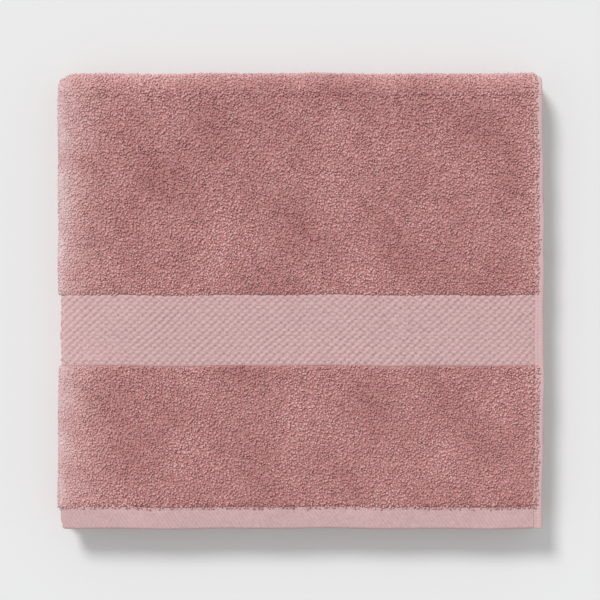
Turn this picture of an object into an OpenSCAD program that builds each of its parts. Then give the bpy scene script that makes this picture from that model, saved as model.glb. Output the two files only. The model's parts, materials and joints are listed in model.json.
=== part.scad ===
// A terry bath towel, folded for the shelf.
//
// The towel is one woven cloth. It is folded in half across its width, then in
// half along its length, then in half again, so that eight plies lie on each
// other. Each of the four panels in the stack is a pair of plies, which the
// side fold joins at -X. The side hems of all the plies lie at +X.
// Going up the stack, the panels are bottom, middle, second and top. The front
// fold joins bottom and middle at -Y. The back fold joins bottom to top and,
// inside that, middle to second, at +Y. Both end hems lie at -Y.
// The upper half of the stack opens about the crease of the back fold.
// Millimetres, +Z up, origin under the middle of the folded towel.

/* [Towel laid flat] */
// Width across the towel, from one side hem to the other
towel_w = 762; // [500:2:1100]
// Length along the towel, from one end hem to the other
towel_l = 1422; // [900:2:2000]

/* [Cloth] */
// Thickness of a terry ply with its pile, as pressed in the stack
terry_t = 4.3; // [3:0.1:6]
// Gap between one ply and the next
ply_gap = 0.1; // [0.05:0.05:0.5]
// Gap between the lower and the upper half of the stack
half_gap = 0.8; // [0.6:0.1:2]
// Thickness of the flat woven border
border_t = 2.0; // [1:0.1:3]
// Thickness of an end hem, which is flat cloth turned under twice
end_hem_t = 2.6; // [1.5:0.1:3]
// Thickness of a side hem
side_hem_t = 2.2; // [1:0.1:3]
// Thickness of the sewing thread
thread_t = 0.5; // [0.2:0.1:0.8]

/* [Borders and hems] */
// Depth of each end hem
end_hem_w = 17; // [8:1:40]
// Terry between an end hem and the border
end_terry_w = 111; // [40:1:160]
// Width of the woven border
border_w = 56; // [15:1:80]
// Width of each side hem
side_hem_w = 6.5; // [3:0.5:12]
// Distance of each sewing line from its hem's inner edge
seam_inset = 1.5; // [1:0.5:2.5]

/* [Care label] */
// Width of the care label, along the end hem
label_w = 32; // [15:1:60]
// Length of the care label beyond the end hem
label_l = 44; // [20:1:90]
// Thickness of the care label
label_t = 0.3; // [0.1:0.05:0.4]
// Distance of the care label from the side hem
label_inset = 18; // [5:1:80]

/* [Hidden] */
$fn = 64;

// Half the clearance that the two halves keep at the crease when the towel is opened flat
crease_gap = 0.15;

// The stack: pitch is the rise from one ply to the next
pitch = terry_t + ply_gap;
bottom_z = (terry_t + pitch) / 2;
middle_z = bottom_z + 2 * pitch;
lower_top_z = 4 * pitch - ply_gap;
crease_z = lower_top_z + half_gap / 2;
second_z = 2 * crease_z - middle_z;
top_z = 2 * crease_z - bottom_z;

// Across the towel: a ply's flat stretch runs from the side fold to the side edge
flat_w = (towel_w - PI * pitch / 2) / 2;
side_fold_r = (pitch + terry_t) / 2;
folded_w = flat_w + side_fold_r;
side_fold_x = side_fold_r - folded_w / 2;
edge_x = folded_w / 2;
terry_edge_x = edge_x - side_hem_w;

// Along the towel: the radii are those of each pair's middle line in its fold
outer_fold_r = crease_z - bottom_z;
inner_fold_r = crease_z - middle_z;
front_fold_r = pitch;
front_fold_z = bottom_z + pitch;
front_fold_depth = front_fold_z;
folds_l = PI * (outer_fold_r + inner_fold_r + front_fold_r);
panel_l = (towel_l - folds_l + 2 * front_fold_depth) / 4;
folded_l = panel_l + crease_z;
front_y = -folded_l / 2;
crease_y = front_y + panel_l;
front_fold_y = front_y + front_fold_depth;
panel_end_y = crease_y - crease_gap;
end_hem_y = front_y + end_hem_w;
border_front_y = end_hem_y + end_terry_w;
border_back_y = border_front_y + border_w;

// Section of a pair of plies: +X of the sketch is up through the cloth, +Y runs across the towel
module pair_section(ply_t) {
    outer_r = (pitch + ply_t) / 2;
    inner_r = (pitch - ply_t) / 2;
    for (side = [-1, 1])
        translate([side * pitch / 2 - ply_t / 2, side_fold_x])
            square([ply_t, terry_edge_x - side_fold_x]);
    translate([0, side_fold_x])
        difference() {
            circle(r = outer_r);
            circle(r = inner_r);
            translate([-outer_r, 0])
                square(2 * outer_r);
        }
}

// Section of the side hems of a pair of plies
module side_hem_section() {
    for (side = [-1, 1])
        translate([side * pitch / 2 - side_hem_t / 2, terry_edge_x])
            square([side_hem_t, side_hem_w]);
}

// Section of the sewing thread along the side hems, on the outer face of each ply of a pair
module side_seam_section() {
    for (side = [-1, 1])
        translate([side * (pitch + side_hem_t + thread_t) / 2 - thread_t / 2, terry_edge_x + seam_inset])
            square(thread_t);
}

// Section of the thread that crosses an end hem, round the outside of the pair
module hem_seam_section() {
    face_r = (pitch + end_hem_t) / 2;
    for (side = [-1, 1])
        translate([side * (face_r + thread_t / 2) - thread_t / 2, side_fold_x])
            square([thread_t, terry_edge_x - side_fold_x]);
    translate([0, side_fold_x])
        difference() {
            circle(r = face_r + thread_t);
            circle(r = face_r);
            translate([-2 * face_r, 0])
                square(4 * face_r);
        }
}

// Runs a section straight along the towel, from y_from to y_to, at height z
module along(y_from, y_to, z) {
    translate([0, y_from, z])
        rotate([-90, 0, 0])
            rotate([0, 0, -90])
                linear_extrude(height = y_to - y_from)
                    children();
}

// Turns a section about a fold's centre, from one angle to another above +Y
module around(y, z, fold_r, angle_from, angle_to) {
    translate([0, y, z])
        rotate([90, 0, 90])
            rotate([0, 0, angle_from])
                rotate_extrude(angle = angle_to - angle_from)
                    translate([fold_r, 0])
                        children();
}

// A quarter of one pair's back fold, with the short straight stretch that meets the panel
module back_quarter(fold_r, upper) {
    side = upper ? 1 : -1;
    around(crease_y, crease_z, fold_r, upper ? 0 : -90, upper ? 90 : 0)
        children();
    along(panel_end_y, crease_y, crease_z + side * fold_r)
        children();
}

module bottom_panel() {
    color("rosybrown")
        along(front_fold_y, panel_end_y, bottom_z)
            pair_section(terry_t);
}

module bottom_side_hems() {
    color("thistle")
        along(front_fold_y, panel_end_y, bottom_z)
            side_hem_section();
}

module middle_panel() {
    color("rosybrown")
        along(front_fold_y, panel_end_y, middle_z)
            pair_section(terry_t);
}

module middle_side_hems() {
    color("thistle")
        along(front_fold_y, panel_end_y, middle_z)
            side_hem_section();
}

module front_fold() {
    color("rosybrown")
        around(front_fold_y, front_fold_z, front_fold_r, 90, 270)
            pair_section(terry_t);
}

module front_fold_side_hems() {
    color("thistle")
        around(front_fold_y, front_fold_z, front_fold_r, 90, 270)
            side_hem_section();
}

module back_fold(upper) {
    color("rosybrown")
        for (fold_r = [inner_fold_r, outer_fold_r])
            back_quarter(fold_r, upper)
                pair_section(terry_t);
}

module back_fold_side_hems(upper) {
    color("thistle")
        for (fold_r = [inner_fold_r, outer_fold_r])
            back_quarter(fold_r, upper)
                side_hem_section();
}

module lower_side_seams() {
    color("mistyrose") {
        for (z = [bottom_z, middle_z])
            along(front_fold_y, panel_end_y, z)
                side_seam_section();
        around(front_fold_y, front_fold_z, front_fold_r, 90, 270)
            side_seam_section();
    }
}

module upper_side_seams() {
    color("mistyrose")
        for (z = [second_z, top_z])
            along(front_y, panel_end_y, z)
                side_seam_section();
}

module end_panel(z) {
    color("rosybrown")
        along(border_back_y, panel_end_y, z)
            pair_section(terry_t);
}

module border(z) {
    color("pink")
        along(border_front_y, border_back_y, z)
            pair_section(border_t);
}

module end_terry(z) {
    color("rosybrown")
        along(end_hem_y, border_front_y, z)
            pair_section(terry_t);
}

module end_hem(z) {
    color("pink")
        along(front_y, end_hem_y, z)
            pair_section(end_hem_t);
}

module end_side_hems(z) {
    color("thistle")
        along(front_y, panel_end_y, z)
            side_hem_section();
}

module hem_seam(z) {
    color("mistyrose")
        along(end_hem_y - seam_inset - thread_t, end_hem_y - seam_inset, z)
            hem_seam_section();
}

// A blank tape under the second panel. Its turned-up end is sewn to the hem, behind the seam
module care_label() {
    label_top_z = second_z - (pitch + terry_t) / 2;
    hem_face_z = second_z - (pitch + end_hem_t) / 2;
    label_z = label_top_z - label_t;
    label_x = terry_edge_x - label_inset - label_w;
    color("white") {
        translate([label_x, end_hem_y - seam_inset, label_z])
            cube([label_w, label_l + seam_inset, label_t]);
        translate([label_x, end_hem_y - seam_inset, label_z])
            cube([label_w, seam_inset, hem_face_z - label_z]);
    }
}

bottom_panel();
bottom_side_hems();
middle_panel();
middle_side_hems();
front_fold();
front_fold_side_hems();
back_fold(false);  // back_fold_lower
back_fold_side_hems(false);  // back_fold_lower_side_hems
lower_side_seams();
end_panel(second_z);  // second_panel
border(second_z);  // second_border
end_terry(second_z);  // second_end_terry
end_hem(second_z);  // second_end_hem
end_side_hems(second_z);  // second_side_hems
hem_seam(second_z);  // second_hem_seam
end_panel(top_z);  // top_panel
border(top_z);  // top_border
end_terry(top_z);  // top_end_terry
end_hem(top_z);  // top_end_hem
end_side_hems(top_z);  // top_side_hems
hem_seam(top_z);  // top_hem_seam
back_fold(true);  // back_fold_upper
back_fold_side_hems(true);  // back_fold_upper_side_hems
upper_side_seams();
care_label();
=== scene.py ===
"""The look of a folded terry bath towel: cloth, pile, woven borders, hems, sewing and label.

The towel is one cloth, folded in half across its width and in quarters along its length. Every
piece is first made flat, as a grid or as yarn loops on the open cloth, and then laid through the
same fold, so that the plies, loops and hems stay together. Metres, +Z up, origin under the middle.
"""

from __future__ import annotations

import json
import logging
import math
from dataclasses import dataclass, field
from enum import Enum
from typing import Callable, Sequence

import bmesh
import bpy
import numpy as np
from mathutils import Matrix, Vector

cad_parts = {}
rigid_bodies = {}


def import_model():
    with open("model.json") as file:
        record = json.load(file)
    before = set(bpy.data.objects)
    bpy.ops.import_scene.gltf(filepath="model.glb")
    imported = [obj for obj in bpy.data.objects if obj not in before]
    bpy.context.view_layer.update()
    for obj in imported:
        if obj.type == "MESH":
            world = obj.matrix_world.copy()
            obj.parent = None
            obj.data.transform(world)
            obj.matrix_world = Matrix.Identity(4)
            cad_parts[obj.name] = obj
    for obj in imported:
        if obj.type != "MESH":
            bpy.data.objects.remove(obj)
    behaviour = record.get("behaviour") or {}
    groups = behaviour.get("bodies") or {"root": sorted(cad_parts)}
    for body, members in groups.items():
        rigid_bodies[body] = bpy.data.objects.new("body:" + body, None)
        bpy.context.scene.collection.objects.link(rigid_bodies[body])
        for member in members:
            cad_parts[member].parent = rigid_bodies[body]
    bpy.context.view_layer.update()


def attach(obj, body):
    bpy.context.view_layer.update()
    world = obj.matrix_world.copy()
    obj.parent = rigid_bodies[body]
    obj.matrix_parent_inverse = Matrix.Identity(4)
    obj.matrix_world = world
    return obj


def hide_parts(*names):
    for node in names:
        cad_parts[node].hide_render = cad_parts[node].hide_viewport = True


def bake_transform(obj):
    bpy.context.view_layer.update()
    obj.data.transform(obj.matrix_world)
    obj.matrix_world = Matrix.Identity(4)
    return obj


LOG = logging.getLogger("towel")
MM = 0.001
LOWER = "lower_half"
UPPER = "upper_half"

Array = np.ndarray
Relief = Callable[[Array, Array, Array], Array]


# ---------------------------------------------------------------- sizes and fold


@dataclass(frozen=True)
class TowelSizes:
    """The towel's sizes in metres, the same as those of its solids."""

    width: float = 0.762
    length: float = 1.422
    terry_t: float = 4.3 * MM
    ply_gap: float = 0.1 * MM
    half_gap: float = 0.8 * MM
    border_t: float = 2.0 * MM
    end_hem_t: float = 2.6 * MM
    side_hem_t: float = 2.2 * MM
    thread_t: float = 0.5 * MM
    end_hem_w: float = 17 * MM
    end_terry_w: float = 111 * MM
    border_w: float = 56 * MM
    side_hem_w: float = 6.5 * MM
    seam_inset: float = 1.5 * MM
    label_w: float = 32 * MM
    label_l: float = 44 * MM
    label_t: float = 0.3 * MM
    label_inset: float = 18 * MM

    @property
    def pitch(self) -> float:
        """Rise from one ply to the next."""
        return self.terry_t + self.ply_gap

    @property
    def bottom_z(self) -> float:
        """Height of the bottom pair's middle."""
        return (self.terry_t + self.pitch) / 2

    @property
    def middle_z(self) -> float:
        """Height of the middle pair's middle."""
        return self.bottom_z + 2 * self.pitch

    @property
    def crease_z(self) -> float:
        """Height of the back fold's centre, about which the upper half opens."""
        return 4 * self.pitch - self.ply_gap + self.half_gap / 2

    @property
    def flat_w(self) -> float:
        """Flat stretch of one ply, from the side edge to the side fold."""
        return (self.width - math.pi * self.pitch / 2) / 2

    @property
    def arc_w(self) -> float:
        """Cloth in the side fold, along the middle of the ply."""
        return math.pi * self.pitch / 2

    @property
    def edge_x(self) -> float:
        """Where the side edges lie."""
        return (self.flat_w + (self.pitch + self.terry_t) / 2) / 2

    @property
    def side_x(self) -> float:
        """Centre of the side fold."""
        return (self.pitch + self.terry_t) / 2 - self.edge_x

    @property
    def outer_r(self) -> float:
        """Radius of the outer pair's middle in the back fold."""
        return self.crease_z - self.bottom_z

    @property
    def inner_r(self) -> float:
        """Radius of the inner pair's middle in the back fold."""
        return self.crease_z - self.middle_z

    @property
    def front_r(self) -> float:
        """Radius of the pair's middle in the front fold."""
        return self.pitch

    @property
    def front_z(self) -> float:
        """Height of the front fold's centre."""
        return self.bottom_z + self.pitch

    @property
    def panel_l(self) -> float:
        """Length of a panel, from the front edge to the crease."""
        folds = math.pi * (self.outer_r + self.inner_r + self.front_r)
        return (self.length - folds + 2 * self.front_z) / 4

    @property
    def front_y(self) -> float:
        """The front edge of the stack."""
        return -(self.panel_l + self.crease_z) / 2

    @property
    def crease_y(self) -> float:
        """The back fold's centre."""
        return self.front_y + self.panel_l

    @property
    def front_fold_y(self) -> float:
        """The front fold's centre."""
        return self.front_y + self.front_z

    @property
    def hem_y(self) -> float:
        """Inner edge of the end hems."""
        return self.front_y + self.end_hem_w

    @property
    def border_y(self) -> tuple[float, float]:
        """Front and back edge of the woven borders."""
        start = self.hem_y + self.end_terry_w
        return start, start + self.border_w

    @property
    def around(self) -> float:
        """Cloth across one pair, from side edge to side edge."""
        return 2 * self.flat_w + self.arc_w


class Course(Enum):
    """The stretches of one pair of plies, in the order in which they follow along the towel."""

    TOP = "top"
    BACK_OUTER = "back_outer"
    BOTTOM = "bottom"
    FRONT = "front"
    MIDDLE = "middle"
    BACK_INNER = "back_inner"
    SECOND = "second"


class Fold:
    """Lays points of the flat cloth into the folded stack."""

    # Rounding of the stack's corners: side along X, end along Y, radius on top, and how much more at the floor.
    CORNERS = ((-1, -1, 6 * MM, 9 * MM), (-1, 1, 10 * MM, 4 * MM), (1, 1, 7 * MM, 3 * MM))

    def __init__(self, size: TowelSizes) -> None:
        self.size = size
        z = size.crease_z
        self._panels = {
            Course.TOP: (2 * z - size.bottom_z, 1.0),
            Course.BOTTOM: (size.bottom_z, -1.0),
            Course.MIDDLE: (size.middle_z, 1.0),
            Course.SECOND: (2 * z - size.middle_z, -1.0),
        }
        # centre y, centre z, radius, angle at the start, turn, side of the outer face
        self._bends = {
            Course.BACK_OUTER: (size.crease_y, z, size.outer_r, 90.0, -180.0, 1.0),
            Course.FRONT: (size.front_fold_y, size.front_z, size.front_r, 270.0, -180.0, 1.0),
            Course.BACK_INNER: (size.crease_y, z, size.inner_r, -90.0, 180.0, -1.0),
        }

    def span(self, course: Course) -> tuple[float, float]:
        """Range of the place along a course: y on a panel, cloth length in a bend."""
        if course in self._bends:
            return 0.0, math.pi * self._bends[course][2]
        front = {Course.TOP, Course.SECOND}
        start = self.size.front_y if course in front else self.size.front_fold_y
        return start, self.size.crease_y - ROOM

    def stretch(self, course: Course) -> float:
        """Length of the outermost ply along a course, as a share of the pair's middle line."""
        if course in self._bends and self._bends[course][5] > 0:
            return 1 + self.size.pitch / self._bends[course][2]
        return 1.0

    def line(self, course: Course, t: Array) -> tuple[Array, Array, Array, Array]:
        """Middle line of the pair at t, and the direction of its outer face, in Y and Z."""
        if course in self._panels:
            z, up = self._panels[course]
            return t, np.full_like(t, z), np.zeros_like(t), np.full_like(t, up)
        y, z, radius, start, turn, side = self._bends[course]
        arc = np.clip(t, 0.0, math.pi * radius)
        way = math.copysign(1.0, turn)
        angle = np.radians(start) + way * arc / radius
        cos, sin = np.cos(angle), np.sin(angle)
        run = way * (t - arc)
        return y + radius * cos - run * sin, z + radius * sin + run * cos, side * cos, side * sin

    def section(self, s: Array, h: Array) -> tuple[Array, Array]:
        """Place across the pair: X, and how far out from the pair's middle line."""
        size = self.size
        reach = size.pitch / 2 + h
        past = s - size.flat_w
        angle = np.clip(past / size.arc_w, 0.0, 1.0) * math.pi - math.pi / 2
        x = size.side_x - reach * np.cos(angle)
        x = np.where(past < 0, size.side_x - past, x)
        x = np.where(past > size.arc_w, size.side_x + past - size.arc_w, x)
        return x, reach * np.sin(angle)

    def place(self, course: Course, t: Array, s: Array, h: Array) -> Array:
        """Points of the folded towel for cloth at t along, s across and h above its ply."""
        x, out = self.section(s, h)
        y, z, out_y, out_z = self.line(course, t)
        return self.settle(np.stack([x, y + out * out_y, z + out * out_z], axis=-1))

    def settle(self, p: Array) -> Array:
        """The small unevenness of a stack folded by hand, which all the plies share."""
        size = self.size
        x, y, z = p[..., 0].copy(), p[..., 1].copy(), p[..., 2].copy()
        edge, front = size.edge_x, size.front_y
        level = z / (2 * size.crease_z)
        lower = np.clip(1 - level, 0.0, 1.0)
        for side, end, top_corner, more in self.CORNERS:
            corner = top_corner + more * lower
            dx = np.maximum(side * x - edge + corner, 0.0)
            dy = np.maximum(end * y + front + corner, 0.0)
            across = np.hypot(dx, dy)
            longest = np.maximum(dx, dy)
            shrink = np.where(across > 0, longest / np.maximum(across, 1e-9), 1.0) - 1.0
            x += side * dx * shrink
            y += end * dy * shrink
        # The lower layers lie a little further in at the side fold.
        x += 1.6 * MM * lower * np.exp(-(x + edge) / (30 * MM))
        # The open side bows out, and both sides waver.
        along = y / front
        bow = np.clip(x / edge, 0.0, 1.0) ** 2
        x += bow * (1.6 * MM * (1 - along**2) - 0.6 * MM)
        x += 0.45 * MM * np.sin(31 * y + 1.1 + 2.2 * level) * np.sin(74 * y + 0.4)
        y += 0.5 * MM * np.sin(23 * x + 0.7) * np.sin(52 * x + 2.0 - 1.5 * level)
        # The stack is pressed unevenly.
        dip = np.sin(17 * x + 0.6) * np.sin(19 * y - 0.8) + 0.6 * np.sin(41 * x - 29 * y + 1.0)
        thin = 0.05 * np.exp(-(x + edge) / (18 * MM))
        z *= 1 - 0.012 * (1 + dip / 1.6) - thin
        return np.stack([x, y, z], axis=-1)


# ---------------------------------------------------------------- meshes


def unit_slab(rows: int, columns: int) -> bpy.types.Mesh:
    """A closed slab of one unit each way, with a grid on both of its wide faces.

    Args:
        rows: steps along X.
        columns: steps along Y.

    Returns:
        A mesh whose corners run from 0 to 1.
    """
    bm = bmesh.new()
    bmesh.ops.create_grid(bm, x_segments=rows, y_segments=columns, size=0.5)
    bmesh.ops.translate(bm, verts=bm.verts, vec=(0.5, 0.5, 0.0))
    wide = bmesh.ops.extrude_face_region(bm, geom=bm.faces[:], use_keep_orig=True)
    lifted = [e for e in wide["geom"] if isinstance(e, bmesh.types.BMVert)]
    bmesh.ops.translate(bm, verts=lifted, vec=(0.0, 0.0, 1.0))
    bmesh.ops.recalc_face_normals(bm, faces=bm.faces)
    mesh = bpy.data.meshes.new("slab")
    bm.to_mesh(mesh)
    bm.free()
    return mesh


def read_points(mesh: bpy.types.Mesh) -> Array:
    """The mesh's points as rows of three."""
    flat = np.empty(len(mesh.vertices) * 3)
    mesh.vertices.foreach_get("co", flat)
    return flat.reshape(-1, 3)


def write_points(mesh: bpy.types.Mesh, points: Array) -> None:
    """Moves the mesh's points."""
    mesh.vertices.foreach_set("co", points.astype(np.float32).ravel())
    mesh.update()


def face_outwards(mesh: bpy.types.Mesh) -> None:
    """Turns a closed mesh's faces outwards and shades them smooth."""
    bm = bmesh.new()
    bm.from_mesh(mesh)
    bmesh.ops.recalc_face_normals(bm, faces=bm.faces)
    for f in bm.faces:
        f.smooth = True
    bm.to_mesh(mesh)
    bm.free()


def show(name: str, mesh: bpy.types.Mesh, material: bpy.types.Material) -> bpy.types.Object:
    """Puts a mesh in the scene as a named piece."""
    mesh.name = name
    mesh.materials.clear()
    mesh.materials.append(material)
    piece = bpy.data.objects.new(name, mesh)
    bpy.context.scene.collection.objects.link(piece)
    return piece


@dataclass(frozen=True)
class Patch:
    """A stretch of the flat cloth: a course, a range along it and a range across it."""

    course: Course
    along: tuple[float, float]
    across: tuple[float, float]

    @property
    def flat(self) -> tuple[float, float]:
        """Width and length of the flat cloth."""
        return self.across[1] - self.across[0], self.along[1] - self.along[0]


def lay_slab(
    fold: Fold,
    patch: Patch,
    step: tuple[float, float],
    inner: Relief,
    outer: Relief,
    shade: Callable[[Array, Array, Array], Array] | None = None,
    finer: float = 0.0,
) -> bpy.types.Mesh:
    """A closed sheet of cloth, laid through the fold.

    Args:
        fold: the fold that the cloth follows.
        patch: which part of the cloth.
        step: grid spacing along and across.
        inner: height of the face that looks into the pair, by place.
        outer: height of the face that looks out of the pair, by place.
        shade: value of the point attribute shade, which holds painted light and shade, by flat place and laid point.
        finer: how much closer the grid is on the side fold, as a share.

    Returns:
        The mesh, with its faces outwards.
    """
    rows = max(2, round((patch.along[1] - patch.along[0]) / step[0]))
    ruler, count = crowded(fold.size, patch.across, finer, 9 * MM)
    columns = max(2, round(count[-1] / step[1]))
    mesh = unit_slab(rows, columns)
    unit = read_points(mesh)
    t = patch.along[0] + unit[:, 0] * (patch.along[1] - patch.along[0])
    s = np.interp(unit[:, 1] * count[-1], count, ruler)
    rim = np.minimum(np.minimum(unit[:, 0], 1 - unit[:, 0]) * rows, np.minimum(unit[:, 1], 1 - unit[:, 1]) * columns)
    h = np.where(unit[:, 2] > 0.5, outer(t, s, rim), inner(t, s, rim))
    points = fold.place(patch.course, t, s, h)
    write_points(mesh, points)
    face_outwards(mesh)
    if shade is not None:
        write_value(mesh, "shade", shade(t, s, points))
    return mesh


# ---------------------------------------------------------------- reliefs


def waver(x: Array, y: Array, seed: int, scale: float, octaves: int = 5) -> Array:
    """Smooth unevenness between about -1 and 1, as a sum of waves with directions drawn from seed."""
    draw = np.random.default_rng(seed)
    total = np.zeros(np.broadcast(x, y).shape)
    for _ in range(octaves):
        angle, phase = draw.uniform(0, 2 * math.pi, 2)
        rate = 2 * math.pi / scale * draw.uniform(0.6, 1.7)
        total += np.sin(rate * (x * math.cos(angle) + y * math.sin(angle)) + phase)
    return total / math.sqrt(octaves * 2)


def painted_edge_light(size: TowelSizes, points: Array) -> Array:
    """Painted highlight where the folded edges catch the light: 1 at the side fold, less at the back edge, 0 far from
    all; the cloth also turns paler towards the side hems.
    """
    x, y, z = points[..., 0], points[..., 1], points[..., 2]
    uneven = 1 + 0.16 * waver(y + z, x, 61, 24 * MM) + 0.2 * waver(y + z, x, 62, 60 * MM)
    # Lower plies at the side fold get less of the painted highlight than upper ones.
    upper_light = 0.38 + 0.62 * np.clip(z / (2 * size.crease_z), 0.0, 1.0) ** 4
    side = 0.95 * np.exp(-(x + size.edge_x) / (19 * MM)) * uneven * upper_light
    back = 0.4 * np.exp((y + size.front_y) / (6.5 * MM))
    hems = 0.34 * np.exp((x - size.edge_x) / (9 * MM))
    return np.clip(side + back + hems - 0.04, 0.0, 1.0)


def lozenges(along: Array, across: Array) -> Array:
    """The border's weave: small raised lozenges in rows that lean to the right, from -1 to 1.

    Args:
        along: place along the towel.
        across: place across it.

    Returns:
        The height, with broad tops and narrow pits.
    """
    turn = 2 * math.pi / MM
    x = (across + 0.9 * MM * waver(across, along, 71, 55 * MM)) * turn
    y = (along + 0.45 * MM * waver(across, along, 72, 60 * MM)) * turn
    lean = 0.8 + 0.16 * waver(across, along, 73, 50 * MM)
    wave = (
        lean * np.cos(0.1576 * x - 0.1703 * y)
        + 0.42 * np.cos(0.1576 * x + 0.1703 * y)
        + 0.34 * np.cos(0.3406 * y)
        + 0.34 * np.cos(0.1576 * x + 0.3355 * y)
        + 0.19 * np.cos(0.1576 * x - 0.3355 * y)
    ) / 1.7
    return 1 - 2 * np.clip((1 - wave) / 2, 0.0, 1.0) ** 1.5


def on_fold(size: TowelSizes, s: Array, reach: float) -> Array:
    """How near a place across the cloth is to the side fold: 1 in its outer half, fading over reach past it."""
    past = np.abs(s - size.flat_w - 0.75 * size.arc_w) - size.arc_w / 4
    return np.exp(-np.maximum(past, 0.0) / reach)


def pile_end(size: TowelSizes, course: Course, t: Array) -> Array:
    """How near a place along a course is to the pile's end at the border: 1 there, 0 away from it."""
    if course not in (Course.TOP, Course.SECOND):
        return np.zeros_like(t)
    far = np.minimum(np.abs(t - size.border_y[0]), np.abs(t - size.border_y[1]))
    return np.exp(-far / (3 * MM))


def crowded(size: TowelSizes, across: tuple[float, float], extra: float, reach: float) -> tuple[Array, Array]:
    """A ruler across the cloth that counts more than its length near the side fold.

    Args:
        size: the towel's sizes.
        across: where the ruler starts and ends.
        extra: how much more it counts on the fold, as a share.
        reach: how far from the fold that lasts.

    Returns:
        Places along the ruler, and the length counted up to each.
    """
    ruler = np.linspace(*across, 600)
    weight = 1 + extra * np.exp(-(((ruler - size.flat_w - size.arc_w / 2) / reach) ** 2))
    weight += 0.4 * (ruler > size.around - size.side_hem_w - 0.5 * MM)
    return ruler, np.concatenate([[0.0], np.cumsum(weight[1:] * np.diff(ruler))])


def tight_fold(size: TowelSizes, s: Array, depth: float) -> Array:
    """How far thin cloth lies inside the pile's line in the side fold, which it can turn more tightly."""
    past = (s - size.flat_w - size.arc_w / 2) / (size.arc_w / 2 + 2 * MM)
    return depth * np.clip(1 - past**2, 0.0, 1.0)


# How high the pile is combed flat over the side fold, and how far that reaches past it.
COMBED = 1.15 * MM
COMBED_REACH = 9 * MM
# How far the panels stop short of the back crease, so that they don't meet when the towel is opened.
ROOM = 1.2 * MM


@dataclass(frozen=True)
class ClothBuild:
    """How the cloth's faces stand off the middle of a ply, in metres."""

    size: TowelSizes
    course: Course
    ground: float = 0.7 * MM
    pressed: float = 1.95 * MM

    def buried(self, s: Array) -> Array:
        """How much of a place is on the hidden ply: 1 there, 0 from the side fold onwards."""
        blend = np.clip((self.size.flat_w - s) / (9 * MM), 0.0, 1.0)
        return blend * blend * (3 - 2 * blend)

    def terry_out(self, t: Array, s: Array, rim: Array) -> Array:
        """Outer face of terry: pressed pile on the hidden ply, bare ground under the loops elsewhere."""
        drop = 1 - 0.7 * pile_end(self.size, self.course, t)
        hidden = np.maximum(self.buried(s), 0.9 * on_fold(self.size, s, COMBED_REACH) * drop)
        lumps = 0.12 * MM * waver(t, s, 5, 6 * MM)
        return (self.pressed + lumps) * hidden + (self.ground + 0.5 * lumps) * (1 - hidden)

    def terry_in(self, t: Array, s: Array, rim: Array) -> Array:
        """Inner face of terry, which is pressed pile."""
        return -self.pressed + 0.12 * MM * waver(t, s, 9, 6 * MM)

    def edge_highlight(self, t: Array, s: Array, points: Array) -> Array:
        """Painted edge highlight on the cloth at a laid point."""
        return painted_edge_light(self.size, points)

    def border_out(self, t: Array, s: Array, rim: Array) -> Array:
        """Outer face of the border."""
        fade = np.clip(rim / 3, 0.0, 1.0)
        face = self.size.border_t / 2 * (0.72 + 0.28 * fade) + 0.26 * MM * fade * lozenges(t, s)
        return face - tight_fold(self.size, s, 1.9 * MM)

    def border_in(self, t: Array, s: Array, rim: Array) -> Array:
        """Inner face of the border."""
        face = -self.size.border_t / 2 + 0.06 * MM * waver(t, s, 4, 3 * MM)
        return face - tight_fold(self.size, s, 1.1 * MM)


@dataclass(frozen=True)
class HemBuild:
    """The end hem: cloth turned under twice, round at the front edge and pulled in at the seam."""

    size: TowelSizes
    seed: int
    sway: float = 0.8 * MM

    def _half(self, t: Array, s: Array) -> Array:
        size = self.size
        ahead = t - size.front_y
        nose = np.clip(ahead / (1.6 * MM), 0.0, 1.0)
        full = size.end_hem_t / 2 * np.sqrt(1 - (1 - nose) ** 2 * 0.96)
        seam = np.exp(-(((t - size.hem_y + size.seam_inset + size.thread_t / 2) / (0.7 * MM)) ** 2))
        puffs = 1 + 0.35 * np.sin(2 * math.pi * s / (3.1 * MM))
        back = np.clip((size.hem_y - t) / (0.8 * MM), 0.0, 1.0)
        return full * (0.75 + 0.25 * back) - 0.32 * MM * seam * puffs + 0.10 * MM * waver(t, s, 12, 14 * MM)

    def _shift(self, t: Array, s: Array) -> Array:
        size = self.size
        loose = np.clip((size.hem_y - t) / size.end_hem_w, 0.0, 1.0)
        ends = np.minimum(s, size.around - s) - size.side_hem_w
        away = np.minimum(ends, np.abs(s - size.flat_w - size.arc_w / 2) - size.arc_w / 2)
        free = np.clip(away / (30 * MM), 0.0, 1.0)
        sag = self.sway * loose * free * waver(s, s * 0, self.seed, 110 * MM)
        return sag - tight_fold(size, s, 0.8 * MM)

    def outer(self, t: Array, s: Array, rim: Array) -> Array:
        """Outer face."""
        return self._shift(t, s) + self._half(t, s) - tight_fold(self.size, s, 0.8 * MM)

    def inner(self, t: Array, s: Array, rim: Array) -> Array:
        """Inner face."""
        return self._shift(t, s) - self._half(t, s)


# ---------------------------------------------------------------- pile


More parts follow.
